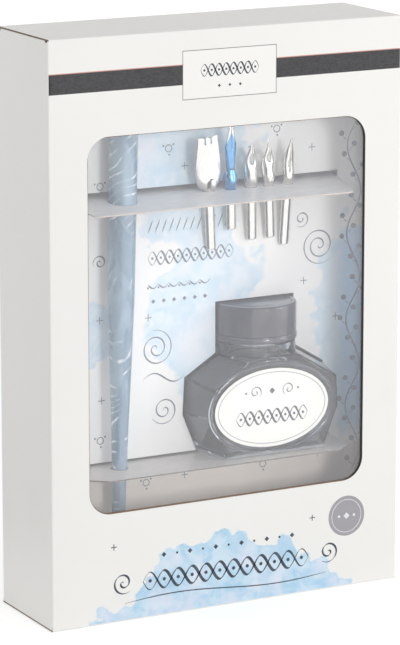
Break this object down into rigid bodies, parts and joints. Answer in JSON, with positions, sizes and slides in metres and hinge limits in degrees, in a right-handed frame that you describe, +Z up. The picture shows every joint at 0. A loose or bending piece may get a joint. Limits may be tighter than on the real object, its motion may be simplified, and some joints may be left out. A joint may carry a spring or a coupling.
{
  "type": "calligraphy set box",
  "caption": "Upright window carton holding a dip pen holder, calligraphy nibs in slots of a card shelf and a faceted bottle of ink with a screw cap; its lid, flaps and cap open.",
  "frame": {"origin": "centre of the carton's footprint, on the surface it stands on", "axes": "+X to the right along the front wall, +Y from the front wall to the back wall, +Z up"},
  "size_m": [0.134, 0.0396, 0.2],
  "materials": {
    "front_board": "satin",
    "carton_board": "satin",
    "window_film": "gloss",
    "backdrop_board": "matte",
    "shelf_board": "satin",
    "marbled_barrel": "polished",
    "ferrule_metal": "polished",
    "nib_steel": "satin",
    "blued_steel": "satin",
    "bottle_glass": "polished",
    "ink": "gloss",
    "label_paper": "satin",
    "cap_plastic": "gloss",
    "seal_foam": "matte"
  },
  "bodies": {
    "carton": {"front_panel": "front_board", "back_panel": "carton_board", "left_panel": "carton_board", "right_panel": "carton_board", "glue_flap": "carton_board", "bottom_flap_left": "carton_board", "bottom_flap_right": "carton_board", "bottom_flap_back": "carton_board", "bottom_flap_front": "carton_board", "window_film": "window_film", "backdrop_liner": "backdrop_board", "shelf_card": "shelf_board", "bottle_glass": "bottle_glass", "ink_fill": "ink", "bottle_label": "label_paper"},
    "lid": {"lid_panel": "carton_board"},
    "tuck": {"tuck_flap": "carton_board"},
    "dust_left": {"dust_flap_left": "carton_board"},
    "dust_right": {"dust_flap_right": "carton_board"},
    "holder": {"pen_holder": "marbled_barrel", "nib_ferrule": "ferrule_metal", "nib_prongs": "ferrule_metal"},
    "poster_nib": {"nib_poster": "nib_steel", "nib_reservoir": "nib_steel"},
    "diamond_nib": {"nib_diamond": "blued_steel"},
    "round_nib": {"nib_round": "nib_steel"},
    "oval_nib": {"nib_oval": "nib_steel"},
    "slim_nib": {"nib_slim": "nib_steel"},
    "seal": {"cap_seal": "seal_foam"},
    "cap": {"bottle_cap": "cap_plastic"}
  },
  "joints": [
    {"name": "lid_hinge", "type": "hinge", "parent": "carton", "child": "lid", "pos_m": [0, -0.01975, 0.1995], "axis": [1, 0, 0], "range_deg": [0, 160]},
    {"name": "tuck_fold", "type": "hinge", "parent": "lid", "child": "tuck", "pos_m": [0, 0.01905, 0.1995], "axis": [1, 0, 0], "range_deg": [0, 40]},
    {"name": "dust_left_fold", "type": "hinge", "parent": "carton", "child": "dust_left", "pos_m": [-0.067, 0, 0.199], "axis": [0, -1, 0], "range_deg": [0, 88]},
    {"name": "dust_right_fold", "type": "hinge", "parent": "carton", "child": "dust_right", "pos_m": [0.067, 0, 0.199], "axis": [0, 1, 0], "range_deg": [0, 88]},
    {"name": "holder_lift", "type": "slide", "parent": "carton", "child": "holder", "axis": [0.0192, 0, 0.9998], "range_m": [0, 0.022]},
    {"name": "poster_nib_lift", "type": "slide", "parent": "carton", "child": "poster_nib", "axis": [-0.1167, -0.1382, 0.9835], "range_m": [0, 0.02]},
    {"name": "diamond_nib_lift", "type": "slide", "parent": "carton", "child": "diamond_nib", "axis": [-0.0924, -0.1386, 0.986], "range_m": [0, 0.02]},
    {"name": "round_nib_lift", "type": "slide", "parent": "carton", "child": "round_nib", "axis": [-0.0906, -0.1386, 0.9862], "range_m": [0, 0.02]},
    {"name": "oval_nib_lift", "type": "slide", "parent": "carton", "child": "oval_nib", "axis": [-0.108, -0.1384, 0.9845], "range_m": [0, 0.02]},
    {"name": "slim_nib_lift", "type": "slide", "parent": "carton", "child": "slim_nib", "axis": [-0.0175, -0.1392, 0.9901], "range_m": [0, 0.02]},
    {"name": "cap_rise", "type": "slide", "parent": "carton", "child": "seal", "axis": [0, 0, 1], "range_m": [0, 0.0005]},
    {"name": "cap_turn", "type": "hinge", "parent": "seal", "child": "cap", "pos_m": [0.0215, 0.0018, 0.0883], "axis": [0, 0, 1], "range_deg": [0, 60]}
  ],
  "couplings": [
    {"joint": "tuck_fold", "follows": "lid_hinge", "ratio": 0.25},
    {"joint": "dust_left_fold", "follows": "lid_hinge", "ratio": 0.55},
    {"joint": "dust_right_fold", "follows": "lid_hinge", "ratio": 0.55},
    {"joint": "cap_rise", "follows": "cap_turn", "m_per_rad": 0.00047746}
  ]
}
